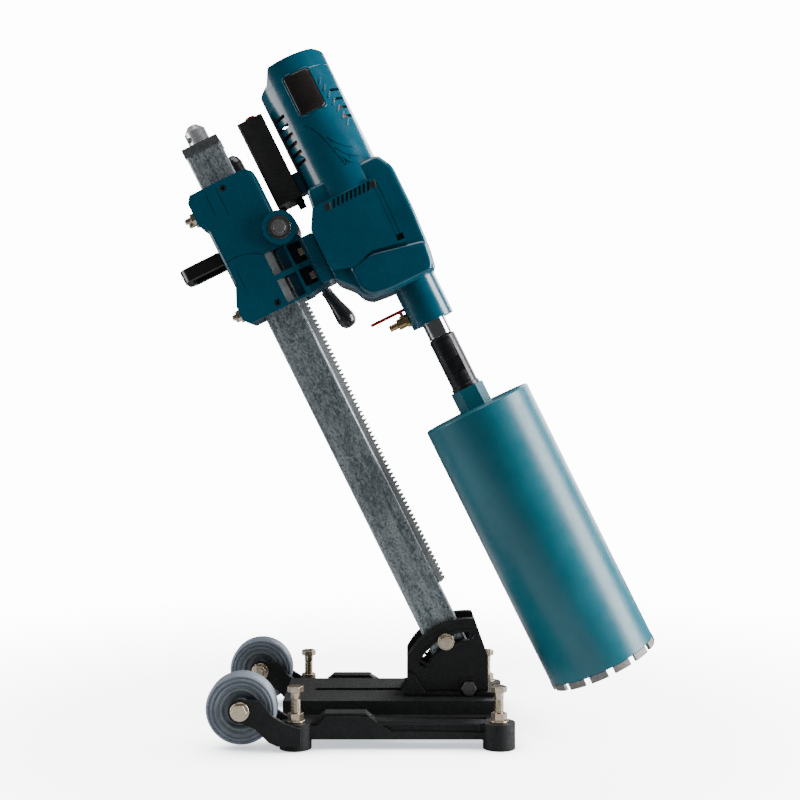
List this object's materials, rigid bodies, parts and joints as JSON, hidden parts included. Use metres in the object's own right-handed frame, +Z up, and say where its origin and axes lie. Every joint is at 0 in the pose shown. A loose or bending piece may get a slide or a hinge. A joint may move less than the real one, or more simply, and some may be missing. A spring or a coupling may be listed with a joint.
{
  "type": "core drill rig",
  "caption": "Wheeled stand with a tilting square column, rack-fed carriage, wet core drill motor, water valve and a long tubular core bit.",
  "frame": {"origin": "on the floor at the centre of the four feet", "axes": "+X towards the bit, +Z up, +Y away from the side that the picture shows; the feed handle is on the +Y side"},
  "size_m": [0.6416, 0.3102, 0.9121],
  "materials": {
    "black_iron": "coarse black textured coating on cast iron",
    "bracket_iron": "satin black paint on cast iron",
    "zinc_yellow": "pale yellow and pink zinc plating",
    "zinc_dark": "dark zinc plating",
    "teal_paint": "glossy teal enamel",
    "teal_drill": "glossy teal enamel on the drill's castings",
    "tyre_rubber": "matte blue grey rubber",
    "hub_plastic": "satin moulded plastic",
    "galvanised": "mottled galvanised steel",
    "bare_iron": "machined iron",
    "rack_steel": "bright cut steel",
    "bright_steel": "bright ground steel",
    "slide_plastic": "white low friction plastic",
    "black_gloss": "gloss black",
    "grip_plastic": "gloss black moulded plastic",
    "bearing_steel": "ground bearing steel",
    "cover_plastic": "gloss brown black plastic",
    "carbon": "pressed carbon",
    "laminations": "stacked iron sheets and varnished copper",
    "fan_plastic": "moulded plastic",
    "gear_steel": "hardened cut steel",
    "chrome": "polished",
    "collar_alloy": "bead blasted aluminium",
    "seal_rubber": "black rubber",
    "adapter_black": "black oxide",
    "bit_paint": "satin light blue paint on steel",
    "segment_metal": "sintered metal with diamond grit",
    "valve_brass": "cast and turned brass",
    "lever_red": "red vinyl dip over steel",
    "box_plastic": "matte black moulded plastic",
    "gland_nylon": "black nylon",
    "button_red": "red plastic"
  },
  "bodies": {
    "base": {"base_casting": "black_iron", "m12_nuts": "zinc_yellow", "m12_washers": "zinc_yellow", "axle_bolts": "zinc_yellow", "hinge_bracket": "bracket_iron", "bracket_bolts": "zinc_dark", "pivot_bolt": "zinc_dark"},
    "levelling_screw_rear_near": {"levelling_bolt_rear_near": "zinc_yellow"},
    "levelling_screw_front_near": {"levelling_bolt_front_near": "zinc_yellow"},
    "levelling_screw_rear_far": {"levelling_bolt_rear_far": "zinc_yellow"},
    "levelling_screw_front_far": {"levelling_bolt_front_far": "zinc_yellow"},
    "wheel_near": {"wheel_hub_near": "hub_plastic", "tyre_near": "tyre_rubber"},
    "wheel_far": {"wheel_hub_far": "hub_plastic", "tyre_far": "tyre_rubber"},
    "column": {"column_tube": "galvanised", "column_foot": "bare_iron", "rack": "rack_steel", "rack_screws": "zinc_dark", "top_cap": "bare_iron", "clamp_bolt": "zinc_yellow", "clamp_nut": "zinc_yellow"},
    "jack": {"jack_screw": "bright_steel"},
    "carriage": {"carriage_housing": "teal_paint", "slide_pads": "slide_plastic", "pad_screws": "zinc_dark", "adjuster_screws": "zinc_yellow", "adjuster_nuts": "zinc_yellow", "bow_handle": "black_gloss", "pinion_bearings": "bearing_steel", "mount_plate": "teal_paint", "mount_bolts": "zinc_yellow", "gear_housing": "teal_drill", "bearing_plate": "collar_alloy", "motor_housing": "teal_drill", "end_cap": "teal_drill", "brush_covers": "cover_plastic", "carbon_brushes": "carbon", "stator": "laminations", "shaft_bearings": "bearing_steel", "water_collar": "teal_drill", "spindle_seal": "seal_rubber", "valve_body": "valve_brass", "control_box": "box_plastic", "box_bracket": "teal_paint", "cable_glands": "gland_nylon"},
    "valve": {"valve_lever": "lever_red", "valve_ball": "chrome"},
    "button": {"stop_button": "button_red"},
    "feed_handle": {"pinion_shaft": "gear_steel", "feed_crossbar": "black_gloss", "feed_grips": "grip_plastic"},
    "spindle_and_bit": {"spindle": "chrome", "spindle_gear": "gear_steel", "adapter": "adapter_black", "core_bit": "bit_paint", "bit_segments": "segment_metal"},
    "layshaft_assembly": {"layshaft": "gear_steel"},
    "armature_assembly": {"armature": "laminations", "cooling_fan": "fan_plastic"}
  },
  "joints": [
    {"name": "column_tilt", "type": "hinge", "parent": "base", "child": "column", "pos_m": [0.095, 0, 0.058], "axis": [0, 1, 0], "range_deg": [-18.6, 26.4]},
    {"name": "carriage_feed", "type": "slide", "parent": "column", "child": "carriage", "axis": [-0.4446, 0, 0.8957], "range_m": [-0.45, 0.04]},
    {"name": "feed_handle_turn", "type": "hinge", "parent": "carriage", "child": "feed_handle", "pos_m": [-0.15663, 0, 0.67061], "axis": [0, 1, 0], "range_deg": [-180, 1990]},
    {"name": "jack_screw_travel", "type": "slide", "parent": "column", "child": "jack", "axis": [-0.4446, 0, 0.8957], "range_m": [0, 0.04]},
    {"name": "spindle_spin", "type": "hinge", "parent": "carriage", "child": "spindle_and_bit", "pos_m": [0.03122, 0, 0.58456], "axis": [-0.4446, 0, 0.8957], "continuous": true},
    {"name": "layshaft_spin", "type": "hinge", "parent": "carriage", "child": "layshaft_assembly", "pos_m": [-0.03823, 0.02275, 0.66172], "axis": [-0.4446, 0, 0.8957], "continuous": true},
    {"name": "armature_spin", "type": "hinge", "parent": "carriage", "child": "armature_assembly", "pos_m": [-0.09743, 0, 0.78863], "axis": [-0.4446, 0, 0.8957], "continuous": true},
    {"name": "valve_lever_turn", "type": "hinge", "parent": "carriage", "child": "valve", "pos_m": [0.00609, 0, 0.55534], "axis": [-0.4446, 0, 0.8957], "range_deg": [0, 90]},
    {"name": "stop_button_press", "type": "slide", "parent": "carriage", "child": "button", "axis": [0.4446, 0, -0.8957], "range_m": [0, 0.003], "stiffness_N_per_m": 800},
    {"name": "wheel_near_spin", "type": "hinge", "parent": "base", "child": "wheel_near", "pos_m": [-0.197, -0.1206, 0.0517], "axis": [0, 1, 0], "continuous": true},
    {"name": "wheel_far_spin", "type": "hinge", "parent": "base", "child": "wheel_far", "pos_m": [-0.197, 0.1206, 0.0517], "axis": [0, 1, 0], "continuous": true},
    {"name": "levelling_rear_near_travel", "type": "slide", "parent": "base", "child": "levelling_screw_rear_near", "axis": [0, 0, 1], "range_m": [-0.022, 0.006]},
    {"name": "levelling_front_near_travel", "type": "slide", "parent": "base", "child": "levelling_screw_front_near", "axis": [0, 0, 1], "range_m": [-0.022, 0.006]},
    {"name": "levelling_rear_far_travel", "type": "slide", "parent": "base", "child": "levelling_screw_rear_far", "axis": [0, 0, 1], "range_m": [-0.022, 0.006]},
    {"name": "levelling_front_far_travel", "type": "slide", "parent": "base", "child": "levelling_screw_front_far", "axis": [0, 0, 1], "range_m": [-0.022, 0.006]}
  ],
  "couplings": [
    {"joint": "feed_handle_turn", "follows": "carriage_feed", "rad_per_m": -76.923},
    {"joint": "layshaft_spin", "follows": "spindle_spin", "ratio": -3.3636},
    {"joint": "armature_spin", "follows": "spindle_spin", "ratio": 12.109}
  ]
}
